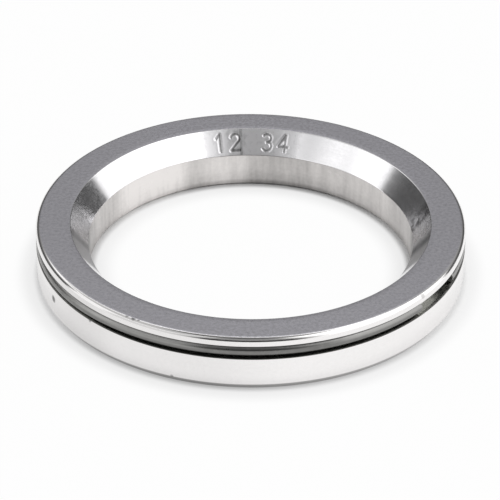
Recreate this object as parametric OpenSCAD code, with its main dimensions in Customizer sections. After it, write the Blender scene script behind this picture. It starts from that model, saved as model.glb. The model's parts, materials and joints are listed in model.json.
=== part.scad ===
// Hub centric ring: a turned aluminium ring that fills the gap between a car's hub
// spigot and the larger centre bore of a wheel, with a spring wire in a groove
// under its collar that keeps the ring in the wheel.
// Millimetres, +Z up. The ring stands on its lead-in end, and the origin is the
// centre of that bottom face. The marked entry chamfer is at the top.

/* [Fit] */
// Bore that slides over the hub spigot, across the ring
bore_d = 56.1; // [54.1:0.1:58.1]
// Thickness of the ring from its bore to the outside that seats in the wheel
wall_t = 9; // [8.2:0.05:10]
// Height of the ring from its bottom face to its top face
height = 10; // [8:0.1:14]

/* [Entry chamfer] */
// Width of the wide chamfer at the mouth of the bore, seen from above
entry_w = 3.05; // [1:0.05:3.6]
// Depth of that chamfer below the top face
entry_h = 3.85; // [1:0.05:5]

/* [Collar] */
// Height of the collar above the groove
collar_h = 1.65; // [1.5:0.05:2.4]
// Radius that rounds the collar's top outer corner
collar_round = 0.9; // [0.2:0.05:1.05]
// Radius that breaks the collar's bottom outer corner
collar_break = 0.3; // [0.05:0.05:0.4]

/* [Spring wire] */
// Thickness of the round wire
wire_d = 1.9; // [1.2:0.05:2.2]
// How far the wire lies inside the outside of the ring
wire_inset = 0; // [0:0.05:0.3]
// Angle of the opening between the two ends of the wire
gap_angle = 16.7; // [4:0.1:40]
// Direction of the middle of that opening, from +X towards +Y
gap_at = -30.85; // [-180:0.05:180]

/* [Groove] */
// Space between the wire and the lower side of the groove
play_below = 0.35; // [0.1:0.05:0.5]
// Space between the wire and the upper side of the groove
play_above = 0.1; // [0.05:0.05:0.5]
// Space between the wire and the floor of the groove
play_behind = 0.2; // [0.1:0.05:0.6]
// Radius in the two inner corners of the groove
groove_fillet = 0.25; // [0.1:0.05:0.4]

/* [Seat] */
// Height of the lead-in taper under the seat
lead_h = 1.1; // [0.5:0.05:2]
// Width of the lead-in taper, seen from below
lead_w = 0.75; // [0.3:0.05:1.5]
// Chamfer that breaks the seat's top outer edge
seat_break = 0.05; // [0.05:0.05:0.4]
// Chamfer that breaks the bore's bottom edge
bore_break = 0.4; // [0.1:0.05:0.8]

/* [Hidden] */
bore_r = bore_d / 2;
outer_r = bore_r + wall_t;

// The groove is as wide and as deep as the wire and its play need
wire_r = wire_d / 2;
path_r = outer_r - wire_inset - wire_r;
groove_h = wire_d + play_below + play_above;
groove_depth = wire_inset + wire_d + play_behind;
groove_r = outer_r - groove_depth;
collar_z = height - collar_h;
groove_z = collar_z - groove_h;
wire_z = groove_z + play_below + wire_r;

// Cutters reach this far past the faces that they open into
over = 1;
$fn = 180;

// Square corner at the origin with everything inside a quarter circle kept,
// so that taking it away leaves a round corner of radius r
module corner_waste(r) {
    difference() {
        square([r + over, r + over]);
        circle(r);
    }
}

// Blank of the turned section, with the bore and outside at their finished sizes
module blank() {
    translate([bore_r, 0]) square([wall_t, height]);
}

// Wide cone at the mouth of the bore, run past the top face at the same slope
module entry_cut() {
    slope = entry_w / entry_h;
    top_r = bore_r + entry_w + slope * over;
    polygon([
        [bore_r - over, height - entry_h],
        [bore_r, height - entry_h],
        [top_r, height + over],
        [bore_r - over, height + over]
    ]);
}

// Small chamfer at the bottom edge of the bore
module bore_break_cut() {
    polygon([
        [bore_r - over, -over],
        [bore_r + bore_break + over, -over],
        [bore_r, bore_break],
        [bore_r - over, bore_break]
    ]);
}

// Taper that guides the seat into the wheel
module lead_cut() {
    slope = lead_w / lead_h;
    polygon([
        [outer_r, lead_h],
        [outer_r + over, lead_h],
        [outer_r + over, -over],
        [outer_r - lead_w - slope * over, -over]
    ]);
}

// Groove under the collar, with a fillet in each of its inner corners and the
// edge of the seat below it broken by a chamfer
module groove_cut() {
    mid_h = groove_h - 2 * groove_fillet;
    translate([groove_r + groove_fillet, groove_z])
        square([groove_depth - groove_fillet + over, groove_h]);
    translate([groove_r, groove_z + groove_fillet])
        square([groove_depth, mid_h]);
    for (corner_z = [groove_z + groove_fillet, collar_z - groove_fillet])
        translate([groove_r + groove_fillet, corner_z]) circle(groove_fillet);
    polygon([
        [outer_r - seat_break, groove_z],
        [outer_r + over, groove_z],
        [outer_r + over, groove_z - seat_break - over],
        [outer_r, groove_z - seat_break]
    ]);
}

// Rounded corners of the collar, top and bottom
module collar_cut() {
    translate([outer_r - collar_round, height - collar_round])
        corner_waste(collar_round);
    translate([outer_r - collar_break, collar_z + collar_break])
        mirror([0, 1]) corner_waste(collar_break);
}

module ring() {
    color("silver")
        rotate_extrude()
            difference() {
                blank();
                entry_cut();
                bore_break_cut();
                lead_cut();
                groove_cut();
                collar_cut();
            }
}

// Open ring of round wire whose two ends are cut square
module retaining_wire() {
    color("dimgray")
        translate([0, 0, wire_z])
            rotate([0, 0, gap_at + gap_angle / 2])
                rotate_extrude(angle = 360 - gap_angle)
                    translate([path_r, 0]) circle(wire_r);
}

ring();
retaining_wire();
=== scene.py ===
"""Hub centric ring: a turned aluminium ring with a spring wire in its groove.

Lengths are metres in the part's own frame: the ring stands on its lead-in end,
the origin is the centre of that face, and the marked chamfer is at the top."""

import json
import math

import bmesh
import bpy
import numpy as np
from bpy.props import FloatProperty, FloatVectorProperty, IntProperty
from bpy.props import PointerProperty, StringProperty
from mathutils import Matrix, Vector


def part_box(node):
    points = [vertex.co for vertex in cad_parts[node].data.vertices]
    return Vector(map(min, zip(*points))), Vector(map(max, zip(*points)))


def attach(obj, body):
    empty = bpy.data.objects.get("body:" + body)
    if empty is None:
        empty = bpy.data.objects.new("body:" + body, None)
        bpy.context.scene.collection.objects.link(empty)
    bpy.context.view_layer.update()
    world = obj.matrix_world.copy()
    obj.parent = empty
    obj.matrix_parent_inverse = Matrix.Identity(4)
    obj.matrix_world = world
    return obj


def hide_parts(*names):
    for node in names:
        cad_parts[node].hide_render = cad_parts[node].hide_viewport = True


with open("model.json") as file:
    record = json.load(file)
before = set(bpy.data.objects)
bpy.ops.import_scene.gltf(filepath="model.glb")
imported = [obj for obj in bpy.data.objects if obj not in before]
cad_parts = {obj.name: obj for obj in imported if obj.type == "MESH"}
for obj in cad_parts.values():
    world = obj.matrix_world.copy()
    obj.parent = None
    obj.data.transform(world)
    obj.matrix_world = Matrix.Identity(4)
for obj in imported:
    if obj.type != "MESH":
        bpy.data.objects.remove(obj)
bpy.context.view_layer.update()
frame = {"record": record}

bl_info = {
    "name": "Hub centric ring",
    "version": (1, 0, 0),
    "blender": (4, 5, 0),
    "location": "3D View > Sidebar > Hub ring",
    "description": "Builds a turned hub centric ring with its spring wire",
    "category": "Add Mesh",
}

MM = 0.001
DEGREES = 180 / math.pi
MOUNTS = {m["name"]: m for m in frame["record"]["mounts"]}
RING_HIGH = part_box("ring")[1]
BORE_RADIUS = MOUNTS["hub_bore"]["dims"]["r_mm"] * MM

# Places closer than this are the same place
SAME = 1e-6
# Straight stretches of the turned section are cut into edges of about this length,
# and the entry chamfer, which is stamped, gets this many cuts
LONG_EDGE = 1.2 * MM
CHAMFER_CUTS = 52
# Edges round the wire, and steps along it
WIRE_EDGES = 28
WIRE_STEPS = 420
# Directions between which the wire sinks and rises again, clockwise from the front
SINKS, RISES = (32, 58), (120, 150)
# Material slots of the turned ring
OUTSIDE, FACES, CHAMFER, BORE, GROOVE = range(5)

# Small marks of use on the outside: place, size and depth in millimetres, and darkness
WEAR = (
    ((-33.2, -16.5, 4.05), 0.85, 0.02, 2.4),
    ((-20.1, -30.35, 9.95), 0.4, 0.015, 1.6),
    ((-19.0, -31.0, 9.95), 0.55, 0.015, 2.2),
    ((-18.2, -31.5, 9.95), 0.35, 0.015, 1.6),
    ((-26.56, -25.83, 5.95), 0.4, 0.02, 1.4),
    ((-12.8, -34.8, 1.1), 0.4, 0.015, 1.2),
    ((28.6, -23.3, 9.6), 0.6, 0.005, 1.0),
)

# Dimmer stretches of the surroundings: the setting that dims each, then from where to
# where it reaches and how soft it ends, in degrees from the front and in degrees upwards
DIM_STRETCHES = (
    ("left", (-135, -35, 10), (40, 80, 4)),
    ("side", (-76, -34, 6), (-2, 36, 3)),
    ("front", (-32, 32, 12), (4, 40, 3)),
    ("above", (-31, 31, 12), (40, 85, 3)),
)


def length(name, description, default):
    """A length in metres that a user can change."""
    return FloatProperty(
        name=name, description=description, default=default,
        min=0.0, precision=5, unit="LENGTH", subtype="DISTANCE",
    )


def angle(name, description, degrees):
    """An angle that a user can change, given in degrees."""
    return FloatProperty(
        name=name, description=description, default=math.radians(degrees),
        unit="ROTATION", subtype="ANGLE",
    )


def factor(name, description, default, high=1.0):
    """A plain number from zero to a highest value."""
    return FloatProperty(
        name=name, description=description, default=default,
        min=0.0, max=high, subtype="FACTOR",
    )


def colour(name, description, default):
    """A colour that a user can change."""
    return FloatVectorProperty(
        name=name, description=description, default=default,
        size=3, min=0.0, max=1.0, subtype="COLOR",
    )


class RingSizes(bpy.types.PropertyGroup):
    """Sizes of the turned ring."""
    bore_radius: length("Bore", "Radius of the bore", BORE_RADIUS)
    outer_radius: length("Outside", "Radius of the seat and the collar", RING_HIGH.x)
    height: length("Height", "Height of the ring", RING_HIGH.z)
    entry_width: length("Entry width", "Width of the entry chamfer", 3.05 * MM)
    entry_depth: length("Entry depth", "Depth of the entry chamfer", 3.85 * MM)
    collar_height: length("Collar", "Height of the collar", 1.65 * MM)
    collar_round: length("Collar round", "Round of the collar's top edge", 0.9 * MM)
    collar_break: length("Collar break", "Round of the collar's lower edge", 0.3 * MM)
    groove_height: length("Groove", "Height of the groove", 2.35 * MM)
    groove_depth: length("Groove depth", "Depth of the groove", 2.1 * MM)
    groove_fillet: length("Groove fillet", "Radius in the groove's corners", 0.25 * MM)
    lead_height: length("Lead-in", "Height of the lead-in taper", 1.1 * MM)
    lead_width: length("Lead-in width", "Width of the lead-in taper", 0.75 * MM)
    seat_break: length("Seat break", "Chamfer on the seat's top edge", 0.05 * MM)
    bore_break: length("Bore break", "Chamfer on the bore's lower edge", 0.4 * MM)
    edge_break: length("Edge break", "Round on the other turned edges", 0.08 * MM)
    steps: IntProperty(name="Steps", description="Steps once round the ring", default=480)


class WireSizes(bpy.types.PropertyGroup):
    """Sizes of the spring wire."""
    thickness: length("Thickness", "Thickness of the wire", 1.9 * MM)
    middle_height: length("Height", "Height of the wire's middle line", 7.3 * MM)
    inset: length("Inset", "How far the wire lies inside the outside of the ring", 0.0)
    opening: angle("Opening", "Angle between the two ends", 16.7)
    opening_at: angle("Opening at", "Direction of the opening from +X", -30.85)
    sunk: length("Sunk", "How far the wire has sunk in the groove on one side", 0.3 * MM)
    end_round: length("End round", "Round on the cut ends", 0.15 * MM)


class MarkSizes(bpy.types.PropertyGroup):
    """The row of plain stamped digits on the entry chamfer."""
    digits: StringProperty(name="Digits", description="Plain digits", default="12 34")
    height: length("Height", "Height of a digit along the slope", 3.0 * MM)
    width: length("Width", "Width of a digit", 1.7 * MM)
    pitch: length("Pitch", "Distance from digit to digit", 2.9 * MM)
    stroke: length("Stroke", "Half width of a stroke's flat bottom", 0.2 * MM)
    depth: length("Depth", "Depth of a stroke", 0.12 * MM)
    sector: angle("Sector", "Angle of the finely divided part", 36.0)
    fineness: IntProperty(name="Steps", description="Steps across that part", default=190)


class Finish(bpy.types.PropertyGroup):
    """Colours and roughness of the metals."""
    faced: colour("Faced ends", "Faced aluminium", (0.733, 0.722, 0.772))
    bored: colour("Bored inside", "Bored aluminium", (0.8, 0.772, 0.755))
    aluminium: colour("Aluminium", "Bare turned aluminium", (0.9, 0.885, 0.88))
    chamfered: colour("Chamfer", "Aluminium of the entry chamfer", (0.893, 0.885, 0.9))
    face_rough: factor("Face", "Roughness of the flat faces", 0.24)
    outside_rough: factor("Outside", "Roughness of the collar and seat", 0.13)
    chamfer_rough: factor("Chamfer", "Roughness of the entry chamfer", 0.15)
    bore_rough: factor("Bore", "Roughness of the bore", 0.3)
    groove_rough: factor("Groove", "Roughness of the groove", 0.22)
    # Painted shade: the groove's aluminium is darker for the shade under the collar
    grooved: colour("Groove", "Aluminium in the groove", (0.62, 0.62, 0.6))
    steel: colour("Steel", "Dark spring steel", (0.235, 0.233, 0.227))
    steel_rough: factor("Steel roughness", "Roughness of the wire", 0.29)


class StageLook(bpy.types.PropertyGroup):
    """Floor and surroundings."""
    floor: colour("Floor", "Pale floor", (0.86, 0.86, 0.86))
    lift: factor("Lift", "How much the floor glows for the camera", 0.97)
    near: factor("Near", "Share of that glow close to the ring", 0.75)
    under: factor("Under", "Share of that glow under the lead-in taper", 0.3)
    sky: factor("Sky", "Strength of the soft light", 1.6, 4.0)
    front: factor("Front", "Share of light from behind the camera", 0.04)
    above: factor("Above", "Share of light from above the camera", 0.19)
    top: factor("Top", "Share of light from straight above", 0.14)
    left: factor("Left", "Share of light from high up on the left", 0.37)
    side: factor("Side", "Share of light from lower down on the left", 0.6579)
    horizon: factor("Horizon", "Share of light from less than about 35 degrees up", 0.76)
    low: factor("Low", "Share of light from low down at the back", 0.085)
    back: factor("Back", "Share of light from the wall at the back", 0.28)


class HubRingSettings(bpy.types.PropertyGroup):
    """Everything that a user can change."""
    ring: PointerProperty(type=RingSizes)
    wire: PointerProperty(type=WireSizes)
    mark: PointerProperty(type=MarkSizes)
    finish: PointerProperty(type=Finish)
    stage: PointerProperty(type=StageLook)


class Signal:
    """A shader socket that Python's own operators work on."""

    def __init__(self, tree, socket):
        self.tree = tree
        self.socket = socket

    def maths(self, operation, *values):
        return self.tree.node("ShaderNodeMath", {"operation": operation}, dict(enumerate(values)))

    def __add__(self, other):
        return self.maths("ADD", self, other)

    def __sub__(self, other):
        return self.maths("SUBTRACT", self, other)

    def __mul__(self, other):
        return self.maths("MULTIPLY", self, other)

    def __truediv__(self, other):
        return self.maths("DIVIDE", self, other)

    def __radd__(self, other):
        return self.maths("ADD", other, self)

    def __rsub__(self, other):
        return self.maths("SUBTRACT", other, self)

    def __rmul__(self, other):
        return self.maths("MULTIPLY", other, self)

    def __neg__(self):
        return self.maths("MULTIPLY", self, -1.0)

    def step(self, low, high):
        """0 below low, 1 above high, and a smooth rise between them."""
        return self.tree.node(
            "ShaderNodeMapRange", {"interpolation_type": "SMOOTHSTEP"},
            {"Value": self, "From Min": low, "From Max": high},
        )

    def band(self, low, high, soft):
        """1 between low and high, with soft borders."""
        return self.step(low - soft, low + soft) * (1.0 - self.step(high - soft, high + soft))


class Tree:
    """A node tree that is filled with one method."""

    def __init__(self, owner):
        owner.use_nodes = True
        self.tree = owner.node_tree
        self.tree.nodes.clear()

    def node(self, kind, settings=None, values=None, output=0):
        made = self.tree.nodes.new(kind)
        for name, value in (settings or {}).items():
            setattr(made, name, value)
        for name, value in (values or {}).items():
            socket = made.inputs[name]
            if isinstance(value, Signal):
                self.tree.links.new(value.socket, socket)
            else:
                socket.default_value = value
        return Signal(self, made.outputs[output]) if made.outputs else None

    def mix(self, share, first, second):
        """A colour between first and second."""
        return self.node("ShaderNodeMix", {"data_type": "RGBA"}, {0: share, 6: first, 7: second}, 2)

    def join(self, x, y, z):
        return self.node("ShaderNodeCombineXYZ", None, {0: x, 1: y, 2: z})

    def noise(self, place, scale, detail=2.0):
        return self.node(
            "ShaderNodeTexNoise", None,
            {"Vector": place, "Scale": scale, "Detail": detail, "Roughness": 0.6},
        )


def place_on_ring(tree):
    """Millimetres: X, Y and Z, the distance from the axis, and the direction from it."""
    place = tree.node("ShaderNodeTexCoord", output=3)
    parts = [tree.node("ShaderNodeSeparateXYZ", None, {0: place}, i) * 1000.0 for i in range(3)]
    x, y, z = parts
    radius = (x * x + y * y).maths("SQRT", x * x + y * y)
    return x, y, z, radius, x / radius, y / radius


def turn_from_front(along_x, along_y):
    """Degrees to the right from the front of the ring."""
    return along_x.maths("ARCTAN2", along_x, -along_y) * DEGREES


def turn_from_back(along_x, along_y):
    """Degrees to the right from the back of the ring."""
    return along_x.maths("ARCTAN2", along_x, along_y) * DEGREES


def dent(x, y, z, at, size):
    """A mark of a given size around one point on the surface."""
    across = [((a - b) / size) for a, b in zip((x, y, z), at)]
    square = across[0] * across[0] + across[1] * across[1] + across[2] * across[2]
    return 1.0 - square.step(0.05, 1.0)


def turned_metal(name, tint, rough, marks=1.0, stretch=0.6, speckle=0.2, wear=(), shade=None):
    """Bare metal with fine lathe marks that run round the axis."""
    mark_pitch, band_pitch, blotch_pitch = 9.0, 1.6, 1.7
    mark_height = 0.0016 * marks
    usual_dirt, dirt_and_shade_strength = 0.3, 0.3
    material = bpy.data.materials.new(name)
    tree = Tree(material)
    x, y, z, radius, along_x, along_y = place_on_ring(tree)
    run = radius + z * 1.37
    fine = tree.noise(tree.join(run * mark_pitch, along_x * 0.6, along_y * 0.6), 1.0, 3.0)
    broad = tree.noise(tree.join(run * band_pitch, along_x * 2.5, along_y * 2.5), 1.0, 2.0)
    blotches = tree.join(x * blotch_pitch, y * blotch_pitch, z * blotch_pitch)
    mottle = tree.noise(blotches, 1.0, 4.0)
    roughness = rough + (broad - 0.5) * 0.10 + (mottle - 0.5) * 0.08
    dirt_and_shade = (mottle - 0.5) * speckle + (fine - 0.5) * (0.25 * marks) + usual_dirt
    # A shade function adds painted shade to this colour, along with some real marks
    if shade:
        added, rougher = shade(tree, x, y, z, along_x, along_y)
        dirt_and_shade = dirt_and_shade + added
        roughness = roughness + rougher
    height = (fine - 0.5) * mark_height
    for at, size, deep, darkness in wear:
        spot = dent(x, y, z, at, size)
        dirt_and_shade = dirt_and_shade + spot * darkness
        roughness = roughness + spot * 0.2
        height = height - spot * deep
    dirty_and_shaded = tuple(c * 0.1 for c in tint)
    clean = tuple(c * 1.1 for c in tint)
    base = tree.mix(dirt_and_shade * dirt_and_shade_strength, (*clean, 1.0), (*dirty_and_shaded, 1.0))
    bump = tree.node("ShaderNodeBump", None, {"Height": height, "Distance": 0.001})
    shader = tree.node(
        "ShaderNodeBsdfPrincipled", None,
        {
            "Base Color": base, "Metallic": 1.0, "Roughness": roughness,
            "Anisotropic": stretch, "Anisotropic Rotation": 0.25, "Normal": bump,
        },
    )
    tree.node("ShaderNodeOutputMaterial", None, {"Surface": shader})
    return material


def chamfer_shade(tree, x, y, z, along_x, along_y):
    """Darker stamped digits, dull metal round them, and painted shade for darker reflections at the
    chamfer's sides.
    """
    stamp = tree.node("ShaderNodeAttribute", {"attribute_name": "stamp"}, output=2)
    patch = tree.noise(tree.join(along_x * 40.0, along_y * 40.0, z * 1.3), 1.0, 3.0)
    cloud = tree.noise(tree.join(x, y, z), 1.1, 4.0).step(0.36, 0.64)
    right = along_x.step(-0.1, 0.1)
    left = 1.0 - right
    # Round the digits at the back, with a darker blot and one dark streak
    pressed = along_y.step(0.948, 0.968)
    blot = along_x.band(-0.15, -0.035, 0.015) * pressed
    streak = along_x.band(-0.071, -0.055, 0.004) * pressed
    # Painted shade for darker reflections on both sides, from front to back: the flank,
    # the clouded stretch and the dark one, whose front end is the darkest on the right
    flank = along_y.band(-0.42, -0.12, 0.06)
    clouded = (along_y + right * 0.06).band(-0.15, 0.17, 0.05)
    darkest = along_y.band(0.07, 0.19, 0.03) * right
    dark = along_y.band(0.08, 0.46, 0.04) * right + along_y.band(0.13, 0.42, 0.04) * left
    dirt_and_shade = stamp * 2.0 + pressed * (patch - 0.65) * 2.8 + blot * 0.5 + streak * 1.2
    # Painted shade from the flank, clouded, darkest and dark stretches
    dirt_and_shade = dirt_and_shade + flank * 1.6 + clouded * (1.4 - right * 0.4 + (cloud - 0.5) * 0.3)
    dirt_and_shade = dirt_and_shade + darkest * 1.3 + dark * ((cloud - 0.5) * 0.9 + right * 0.6)
    rougher = pressed * 0.2 + flank * 0.33 + clouded * 0.12 + dark * (cloud - 0.4) * 0.1
    return dirt_and_shade, rougher


def bore_shade(tree, x, y, z, along_x, along_y):
    """Uneven bands along the bore, with painted shade towards its foot at the back, where the
    contact shadow is reflected, and at both sides.
    """
    turn = turn_from_back(along_x, along_y)
    bands = tree.noise(tree.join(along_x * 7.0, along_y * 7.0, z * 0.05), 1.0, 3.0)
    streaks = tree.noise(tree.join(along_x * 30.0, along_y * 30.0, z * 0.1), 1.0, 2.0)
    bright = turn.band(-58, -2, 2.5) * 0.7 + turn.band(-53, -25, 4) * 0.6
    dull = turn.band(-2, 22, 2) * 0.3 + turn.band(-23, -17, 2) * 0.4
    back = along_y.step(0.5, 1.0)
    # Painted shadow: darker towards the foot at the back, for the contact shadow seen in the bore
    # wall
    foot_shadow = (1.0 - z.step(0.6, 1.4)) * back * 0.55 + (1.0 - z.step(1.0, 4.0)) * back * 0.4
    # Painted shade on both sides of the bore
    sides = along_y.band(-0.4, 0.08, 0.08) * 1.7
    dirt_and_shade = (bands - 0.5) * 1.5 + (streaks - 0.5) * 0.8 + 0.9 + dull - bright
    return dirt_and_shade + foot_shadow + sides, foot_shadow * 0.1


def groove_shade(tree, x, y, z, along_x, along_y):
    """Painted shade in the groove where the wire covers it, less of it on the left, where more
    light falls.
    """
    turn = turn_from_front(along_x, along_y)
    bare = turn.band(50.5, 68.0, 1.0)
    left = 1.0 - turn.step(-62.0, -40.0)
    # Painted shade where the wire covers the groove, lighter on the left
    return (1.0 - bare - left * 0.7) * 0.8, 0.0


def seat_shade(tree, x, y, z, along_x, along_y):
    """Painted shade: a dark line on the lead-in taper, where the contact shadow is reflected, and a
    slightly darker left side, where less light falls.
    """
    # Painted shadow on the lead-in taper at the front, for the reflected contact shadow
    taper_shadow = (1.0 - z.step(0.8, 1.2)) * (0.3 - along_y).step(0.5, 1.3)
    # Painted shade, darker on the left side
    left = (0.25 - along_x).step(0.0, 0.5) * 0.36 + (-along_x).band(0.66, 0.87, 0.08) * 0.28
    return taper_shadow * 1.55 + left, taper_shadow * 0.1


def wire_metal(finish):
    """Drawn spring steel with a dull shine, and a painted highlight along its upper side except at
    the front.
    """
    material = bpy.data.materials.new("drawn_spring_steel")
    tree = Tree(material)
    x, y, z, radius, along_x, along_y = place_on_ring(tree)
    run = radius * 1.9 + z * 3.1
    streak = tree.noise(tree.join(run * 4.0, along_x * 1.2, along_y * 1.2), 1.0, 3.0)
    mottle = tree.noise(tree.join(x, y, z), 0.8, 3.0)
    tint = tuple(finish.steel)
    dark = tuple(c * 0.72 for c in tint)
    painted_highlight = tuple(c * 1.6 for c in tint)
    base = tree.mix((streak * 0.6 + mottle * 0.4).step(0.35, 0.7), (*tint, 1.0), (*dark, 1.0))
    # Painted highlight on the wire's upper side, left out at the front, where it shows a dark
    # reflection
    front = turn_from_front(along_x, along_y).band(-14, 24, 5)
    upper_side = z.step(7.2, 7.7)
    base = tree.mix(upper_side * (0.8 - front * 0.9), base, (*painted_highlight, 1.0))
    bump = tree.node("ShaderNodeBump", None, {"Height": (streak - 0.5) * 0.002, "Distance": 0.001})
    shader = tree.node(
        "ShaderNodeBsdfPrincipled", None,
        {
            "Base Color": base, "Metallic": 1.0, "Normal": bump,
            "Roughness": finish.steel_rough + (mottle - 0.5) * 0.12,
            "Anisotropic": 0.3, "Anisotropic Rotation": 0.25,
        },
    )
    tree.node("ShaderNodeOutputMaterial", None, {"Surface": shader})
    return material


def arc(x, y, wide, high, first, last, count=14):
    """Points on an ellipse, from one angle to another in degrees."""
    turns = [math.radians(first + (last - first) * i / count) for i in range(count + 1)]
    return [(x + wide * math.cos(t), y + high * math.sin(t)) for t in turns]


def digit_strokes(digit):
    """Strokes of one digit in a box one wide and one high, as rows of points."""
    bowl = arc(0.5, 0.72, 0.42, 0.28, 0, 360, 24)
    belly = arc(0.5, 0.29, 0.5, 0.29, 0, 360, 24)
    strokes = {
        "0": [arc(0.5, 0.5, 0.5, 0.5, 0, 360, 28)],
        "1": [[(0.2, 0.78), (0.55, 1.0), (0.55, 0.0)]],
        "2": [arc(0.5, 0.72, 0.45, 0.28, 160, -35) + [(0.03, 0.0), (0.97, 0.0)]],
        "3": [arc(0.45, 0.75, 0.42, 0.25, 140, -90) + arc(0.45, 0.27, 0.5, 0.27, 90, -140)],
        "4": [[(0.72, 0.0), (0.72, 1.0), (0.02, 0.3), (1.0, 0.3)]],
        "5": [[(0.9, 1.0), (0.15, 1.0), (0.1, 0.55)] + arc(0.45, 0.32, 0.5, 0.32, 110, -140)],
        "6": [arc(0.95, 0.35, 0.9, 0.66, 95, 178), belly],
        "7": [[(0.02, 1.0), (0.98, 1.0), (0.4, 0.0)]],
        "8": [bowl, belly],
        "9": [arc(0.05, 0.65, 0.9, 0.66, -85, -2), bowl],
    }
    return strokes.get(digit, [])


def stroke_distance(across, up, mark):
    """Distance of every point on the chamfer from the nearest stroke of the digits."""
    nearest = np.full(across.shape, 1.0)
    count = len(mark.digits)
    for place, digit in enumerate(mark.digits):
        left = (place - (count - 1) / 2) * mark.pitch - mark.width / 2
        for stroke in digit_strokes(digit):
            points = [(left + u * mark.width, (v - 0.5) * mark.height) for u, v in stroke]
            for (ax, ay), (bx, by) in zip(points, points[1:]):
                dx, dy = bx - ax, by - ay
                span = max(dx * dx + dy * dy, 1e-12)
                share = np.clip(((across - ax) * dx + (up - ay) * dy) / span, 0.0, 1.0)
                gap = np.hypot(across - ax - share * dx, up - ay - share * dy)
                nearest = np.minimum(nearest, gap)
    return nearest


def smooth(value, low, high):
    """0 below low, 1 above high, and a smooth rise between them."""
    share = np.clip((value - low) / (high - low), 0.0, 1.0)
    return share * share * (3 - 2 * share)


def stamp_digits(mesh, ring, mark):
    """Presses the digits into the entry chamfer, with the metal raised beside them."""
    slope = math.atan2(ring.entry_depth, ring.entry_width)
    middle_radius = ring.bore_radius + ring.entry_width / 2
    middle_height = ring.height - ring.entry_depth / 2
    co = np.empty(len(mesh.vertices) * 3)
    mesh.vertices.foreach_get("co", co)
    co = co.reshape(-1, 3)
    radius = np.hypot(co[:, 0], co[:, 1])
    turn = np.arctan2(co[:, 0], co[:, 1])
    out, rise = radius - middle_radius, co[:, 2] - middle_height
    up = out * math.cos(slope) + rise * math.sin(slope)
    off = out * math.sin(slope) - rise * math.cos(slope)
    across = turn * middle_radius
    half = math.hypot(ring.entry_width, ring.entry_depth) / 2
    usable = (np.abs(off) < SAME) & (np.abs(up) < half - 2 * ring.edge_break)
    usable &= np.abs(turn) < mark.sector / 2
    gap = stroke_distance(across[usable], up[usable], mark) / mark.stroke
    pressed = 1 - smooth(gap, 0.6, 1.9)
    raised = smooth(gap, 1.7, 2.3) - smooth(gap, 2.6, 4.2)
    move = mark.depth * (pressed - 0.05 * raised)
    toward = co[usable, :2] / radius[usable, None]
    co[usable, :2] += toward * (move * math.sin(slope))[:, None]
    co[usable, 2] -= move * math.cos(slope)
    mesh.vertices.foreach_set("co", co.reshape(-1))
    stamp = np.zeros(len(co))
    stamp[usable] = pressed
    mesh.attributes.new("stamp", "FLOAT", "POINT").data.foreach_set("value", stamp)
    mesh.update()


def round_corner(bm, corner, size, segments):
    """Rounds or chamfers one corner of a flat section."""
    bmesh.ops.bevel(
        bm, geom=[corner], offset=size, offset_type="OFFSET", segments=segments,
        profile=0.5, affect="VERTICES", clamp_overlap=False, material=-1,
    )


def ring_section(ring):
    """The turned section as a closed loop of edges in the XZ plane."""
    outer, inner, top = ring.outer_radius, ring.bore_radius, ring.height
    collar = top - ring.collar_height
    ledge = collar - ring.groove_height
    floor = outer - ring.groove_depth
    corners = [
        (inner, 0.0, ring.bore_break, 1),
        (outer - ring.lead_width, 0.0, ring.edge_break, 3),
        (outer, ring.lead_height, ring.edge_break, 3),
        (outer, ledge, ring.seat_break, 2),
        (floor, ledge, ring.groove_fillet, 5),
        (floor, collar, ring.groove_fillet, 5),
        (outer, collar, ring.collar_break, 5),
        (outer, top, ring.collar_round, 16),
        (inner + ring.entry_width, top, ring.edge_break, 3),
        (inner, top - ring.entry_depth, ring.edge_break, 3),
    ]
    bm = bmesh.new()
    verts = [bm.verts.new((r, 0.0, z)) for r, z, _, _ in corners]
    bm.faces.new(verts)
    for vert, (_, _, size, segments) in zip(verts, corners):
        round_corner(bm, vert, size, segments)
    bmesh.ops.delete(bm, geom=bm.faces[:], context="FACES_ONLY")
    slope = ring.entry_depth / ring.entry_width
    for edge in bm.edges[:]:
        a, b = (v.co for v in edge.verts)
        size = (a - b).length
        if size < LONG_EDGE:
            continue
        above = [(p.x - inner) * slope - (p.z - top + ring.entry_depth) for p in (a, b)]
        on_chamfer = all(abs(height) < SAME for height in above)
        cuts = CHAMFER_CUTS if on_chamfer else max(1, round(size / LONG_EDGE))
        bmesh.ops.subdivide_edges(bm, edges=[edge], cuts=cuts)
    return bm


def turned_sector(ring, first, total, steps, shares):
    """A sector of the ring: one share of it is spun and then copied round."""
    bm = ring_section(ring)
    bmesh.ops.rotate(bm, verts=bm.verts[:], cent=(0, 0, 0), matrix=Matrix.Rotation(first, 3, "Z"))
    bmesh.ops.spin(
        bm, geom=bm.verts[:] + bm.edges[:], cent=(0, 0, 0), axis=(0, 0, 1),
        angle=total / shares, steps=round(steps / shares), use_merge=False,
    )
    share = bm.verts[:] + bm.edges[:] + bm.faces[:]
    for number in range(1, shares):
        copy = bmesh.ops.duplicate(bm, geom=share)["geom"]
        bmesh.ops.rotate(
            bm, verts=[g for g in copy if isinstance(g, bmesh.types.BMVert)], cent=(0, 0, 0),
            matrix=Matrix.Rotation(number * total / shares, 3, "Z"),
        )
    mesh = bpy.data.meshes.new("sector")
    bm.to_mesh(mesh)
    bm.free()
    return mesh


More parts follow.
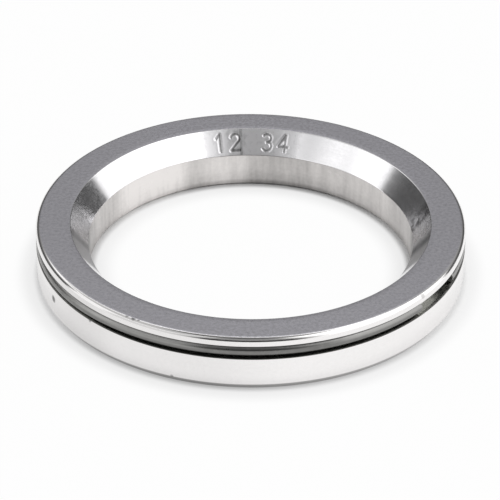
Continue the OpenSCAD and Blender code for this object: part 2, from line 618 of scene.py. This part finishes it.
def turned_ring(ring, mark):
    """The whole turned ring, in finer steps where the digits are."""
    first = math.pi / 2 - mark.sector / 2
    rest = math.tau - mark.sector
    bm = bmesh.new()
    for sector in (
        turned_sector(ring, first, mark.sector, mark.fineness, 5),
        turned_sector(ring, first + mark.sector, rest, ring.steps * rest / math.tau, 9),
    ):
        bm.from_mesh(sector)
        bpy.data.meshes.remove(sector)
    bmesh.ops.remove_doubles(bm, verts=bm.verts[:], dist=1e-7)
    bmesh.ops.recalc_face_normals(bm, faces=bm.faces[:])
    return bm


def finished(name, bm, materials):
    """Makes an object of a bmesh."""
    mesh = bpy.data.meshes.new(name)
    bm.to_mesh(mesh)
    bm.free()
    for material in materials:
        mesh.materials.append(material)
    thing = bpy.data.objects.new(name, mesh)
    bpy.context.collection.objects.link(thing)
    return thing


def keep_flats_flat(thing, sharp):
    """Smooth shading whose normals follow the large faces, written into the mesh."""
    mesh = thing.data
    mesh.polygons.foreach_set("use_smooth", [True] * len(mesh.polygons))
    mesh.set_sharp_from_angle(angle=math.radians(sharp))
    shading = thing.modifiers.new("Flats", "WEIGHTED_NORMAL")
    shading.keep_sharp = True
    shading.weight = 100
    bpy.context.view_layer.update()
    graph = bpy.context.evaluated_depsgraph_get()
    made = bpy.data.meshes.new_from_object(thing.evaluated_get(graph), depsgraph=graph)
    made.name = mesh.name
    thing.modifiers.remove(shading)
    thing.data = made


def ring_material(ring, middle, facing):
    """The material slot of a face of the ring, from its middle and its direction."""
    collar = ring.height - ring.collar_height
    ledge = collar - ring.groove_height
    chamfer = ring.height - ring.entry_depth
    radius = math.hypot(middle.x, middle.y)
    outer_half = radius > ring.bore_radius + 4 * MM
    if outer_half and ledge - SAME < middle.z < collar + SAME:
        return GROOVE if radius < ring.outer_radius - ring.seat_break else OUTSIDE
    if radius < ring.bore_radius + SAME + ring.bore_break and middle.z < chamfer:
        return BORE
    if radius < ring.bore_radius + ring.entry_width and middle.z > chamfer:
        return CHAMFER
    return FACES if abs(facing.z) > 0.95 else OUTSIDE


class HUBRING_OT_ring(bpy.types.Operator):
    """Turns the ring and stamps its chamfer"""
    bl_idname = "hubring.ring"
    bl_label = "Turned ring"

    def execute(self, context):
        settings = context.scene.hub_ring
        ring, mark, finish = settings.ring, settings.mark, settings.finish
        bm = turned_ring(ring, mark)
        outside = turned_metal(
            "turned_outside", tuple(finish.aluminium), finish.outside_rough, 0.6, 0.5, 0.25,
            WEAR, seat_shade)
        faces = turned_metal("faced_ends", tuple(finish.faced), finish.face_rough, 1.2, 0.6, 2.6)
        chamfer = turned_metal(
            "bright_chamfer", tuple(finish.chamfered), finish.chamfer_rough, 0.4, 0.2, 0.3,
            shade=chamfer_shade)
        bore = turned_metal(
            "bored_inside", tuple(finish.bored), finish.bore_rough, 0.6, 0.5, 0.6,
            shade=bore_shade)
        groove = turned_metal(
            "turned_groove", tuple(finish.grooved), finish.groove_rough, 1.0, 0.5, 0.2,
            shade=groove_shade)
        thing = finished("turned_ring", bm, [outside, faces, chamfer, bore, groove])
        mesh = thing.data
        for face in mesh.polygons:
            face.material_index = ring_material(ring, face.center, face.normal)
        stamp_digits(mesh, ring, mark)
        keep_flats_flat(thing, 28.0)
        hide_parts("ring")
        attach(thing, "root")
        return {"FINISHED"}


def wire_section(bm, thickness, at, cuts):
    """A round section in the XZ plane, at a distance from the axis."""
    bmesh.ops.create_circle(
        bm, cap_ends=False, radius=thickness / 2, segments=cuts,
        matrix=Matrix.Translation(at) @ Matrix.Rotation(math.pi / 2, 4, "X"),
    )


class HUBRING_OT_wire(bpy.types.Operator):
    """Bends the spring wire in the groove"""
    bl_idname = "hubring.wire"
    bl_label = "Spring wire"

    def execute(self, context):
        settings = context.scene.hub_ring
        ring, wire = settings.ring, settings.wire
        path = ring.outer_radius - wire.inset - wire.thickness / 2
        run = math.tau - wire.opening
        bm = bmesh.new()
        wire_section(bm, wire.thickness, (path, 0, wire.middle_height), WIRE_EDGES)
        bmesh.ops.rotate(
            bm, verts=bm.verts[:], cent=(0, 0, 0),
            matrix=Matrix.Rotation(wire.opening_at + wire.opening / 2, 3, "Z"),
        )
        bmesh.ops.spin(
            bm, geom=bm.verts[:] + bm.edges[:], cent=(0, 0, 0), axis=(0, 0, 1), angle=run,
            steps=WIRE_STEPS, use_merge=False,
        )
        bmesh.ops.remove_doubles(bm, verts=bm.verts[:], dist=1e-7)
        bmesh.ops.holes_fill(bm, edges=[e for e in bm.edges if e.is_boundary], sides=0)
        bmesh.ops.recalc_face_normals(bm, faces=bm.faces[:])
        caps = [f for f in bm.faces if len(f.verts) > 4]
        if len(caps) != 2:
            raise RuntimeError("the wire should have two flat ends")
        rims = [e for f in caps for e in f.edges]
        bmesh.ops.bevel(
            bm, geom=rims, offset=wire.end_round, offset_type="OFFSET", segments=3,
            profile=0.5, affect="EDGES", clamp_overlap=True, material=-1,
        )
        for vert in bm.verts:
            turn = math.degrees(math.atan2(-vert.co.x, -vert.co.y))
            vert.co.z -= wire.sunk * float(smooth(turn, *SINKS) - smooth(turn, *RISES))
        thing = finished("spring_wire", bm, [wire_metal(settings.finish)])
        keep_flats_flat(thing, 40.0)
        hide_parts("retaining_wire")
        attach(thing, "root")
        return {"FINISHED"}


def add_floor(look):
    """A wide pale floor that the ring stands on."""
    bm = bmesh.new()
    bmesh.ops.create_grid(bm, x_segments=1, y_segments=1, size=1.5)
    mesh = bpy.data.meshes.new("floor")
    bm.to_mesh(mesh)
    bm.free()
    floor = bpy.data.objects.new("floor", mesh)
    bpy.context.collection.objects.link(floor)
    material = bpy.data.materials.new("pale_floor")
    tree = Tree(material)
    matt = tree.node("ShaderNodeBsdfDiffuse", None, {"Color": (*look.floor, 1.0)})
    glow = tree.node("ShaderNodeEmission", None, {"Color": (1.0, 1.0, 1.0, 1.0), "Strength": 1.0})
    seen = tree.node("ShaderNodeLightPath") + tree.node("ShaderNodeLightPath", output=3)
    radius = place_on_ring(tree)[3]
    # Distances from the axis over which the shadow round the ring ends, in millimetres
    under, beside, away = (36.0, 36.5), (36.7, 38.0), (37.8, 41.5)
    beside_bore, bore_middle = (26.6, 27.9), (22.5, 27.0)
    close, clear = look.near, 1.0 - look.near
    outside = radius.step(*under) * look.under + radius.step(*beside) * (close - look.under)
    inside = (1.0 - radius.step(*beside_bore)) * close + (1.0 - radius.step(*bore_middle)) * clear
    share = outside + radius.step(*away) * clear + inside
    shader = tree.node("ShaderNodeMixShader", None, {0: seen * share * look.lift, 1: matt, 2: glow})
    tree.node("ShaderNodeOutputMaterial", None, {"Surface": shader})
    mesh.materials.append(material)


def add_surroundings(look):
    """Soft white light all round, dimmer low down, to the left, round the camera, straight
    above and at the wall behind the ring, which has one bright window high on its left."""
    world = bpy.data.worlds.new("soft_studio")
    bpy.context.scene.world = world
    tree = Tree(world)
    way = tree.node("ShaderNodeTexCoord", output=0)
    x, y, z = (tree.node("ShaderNodeSeparateXYZ", None, {0: way}, i) for i in range(3))
    turn = turn_from_front(x, y)
    rise = z.maths("ARCSINE", z) * DEGREES

    def dim(light, mask, share):
        return light * (1.0 - mask * (1.0 - share))

    light = rise.step(30, 45) * (1.0 - look.horizon) + look.horizon
    for name, across, upwards in DIM_STRETCHES:
        light = dim(light, turn.band(*across) * rise.band(*upwards), getattr(look, name))
    light = dim(light, rise.step(64, 76), look.top)
    # The wall's right end lies further back high up than low down
    right_end = (turn - rise.step(15, 30) * 12.0).step(111.5, 116.5)
    left_end = turn.step(-104.5, -99.5)
    wall = (1.0 - left_end * (1.0 - right_end)) * rise.band(-30, 58, 8)
    window = turn.band(-145, -100, 4) * rise.step(27, 33)
    share = rise.step(17, 31) * (look.back - look.low) + look.low
    share = share * (1.0 - turn.band(100, 150, 8) * 0.1)
    light = dim(light, wall * (1.0 - window), share)
    shell = tree.node(
        "ShaderNodeBackground", None,
        {"Color": (1.0, 1.0, 1.0, 1.0), "Strength": light * look.sky},
    )
    tree.node("ShaderNodeOutputWorld", None, {"Surface": shell})


def add_camera():
    """A long lens that looks down on the ring from the front."""
    rise, roll, distance = 0.565199, 0.006739, 0.5
    aim = Vector((-0.00010, -0.010043, 0.010))
    forward = Vector((0, math.cos(rise), -math.sin(rise)))
    right = Vector((1, 0, 0))
    up = right.cross(forward)
    side = right * math.cos(roll) + up * math.sin(roll)
    top = up * math.cos(roll) - right * math.sin(roll)
    place = aim - forward * distance
    data = bpy.data.cameras.new("camera")
    data.lens = 212.4
    data.sensor_width = 36.0
    data.clip_start = 0.01
    data.clip_end = 20.0
    camera = bpy.data.objects.new("camera", data)
    camera.matrix_world = Matrix((
        (side.x, top.x, -forward.x, place.x),
        (side.y, top.y, -forward.y, place.y),
        (side.z, top.z, -forward.z, place.z),
        (0, 0, 0, 1),
    ))
    bpy.context.collection.objects.link(camera)
    bpy.context.scene.camera = camera


class HUBRING_OT_stage(bpy.types.Operator):
    """Adds the floor, the soft light and the camera"""
    bl_idname = "hubring.stage"
    bl_label = "Stage"

    def execute(self, context):
        look = context.scene.hub_ring.stage
        add_floor(look)
        add_surroundings(look)
        add_camera()
        context.scene.view_settings.view_transform = "Standard"
        return {"FINISHED"}


class HUBRING_PT_panel(bpy.types.Panel):
    """Lists the ring's pieces and their sizes"""
    bl_idname = "HUBRING_PT_panel"
    bl_label = "Hub ring"
    bl_space_type = "VIEW_3D"
    bl_region_type = "UI"
    bl_category = "Hub ring"

    def draw(self, context):
        settings = context.scene.hub_ring
        for operator, group in (
            (HUBRING_OT_ring, "ring"), (HUBRING_OT_wire, "wire"), (None, "mark"),
            (None, "finish"), (HUBRING_OT_stage, "stage"),
        ):
            box = self.layout.box()
            if operator:
                box.operator(operator.bl_idname)
            values = getattr(settings, group)
            for name in values.__annotations__:
                box.prop(values, name)


CLASSES = (
    RingSizes, WireSizes, MarkSizes, Finish, StageLook, HubRingSettings,
    HUBRING_OT_ring, HUBRING_OT_wire, HUBRING_OT_stage, HUBRING_PT_panel,
)


def register():
    for item in CLASSES:
        bpy.utils.register_class(item)
    bpy.types.Scene.hub_ring = PointerProperty(type=HubRingSettings)


def unregister():
    del bpy.types.Scene.hub_ring
    for item in reversed(CLASSES):
        bpy.utils.unregister_class(item)


def main():
    register()
    for operator in (bpy.ops.hubring.ring, bpy.ops.hubring.wire, bpy.ops.hubring.stage):
        operator()


if __name__ == "__main__":
    main()
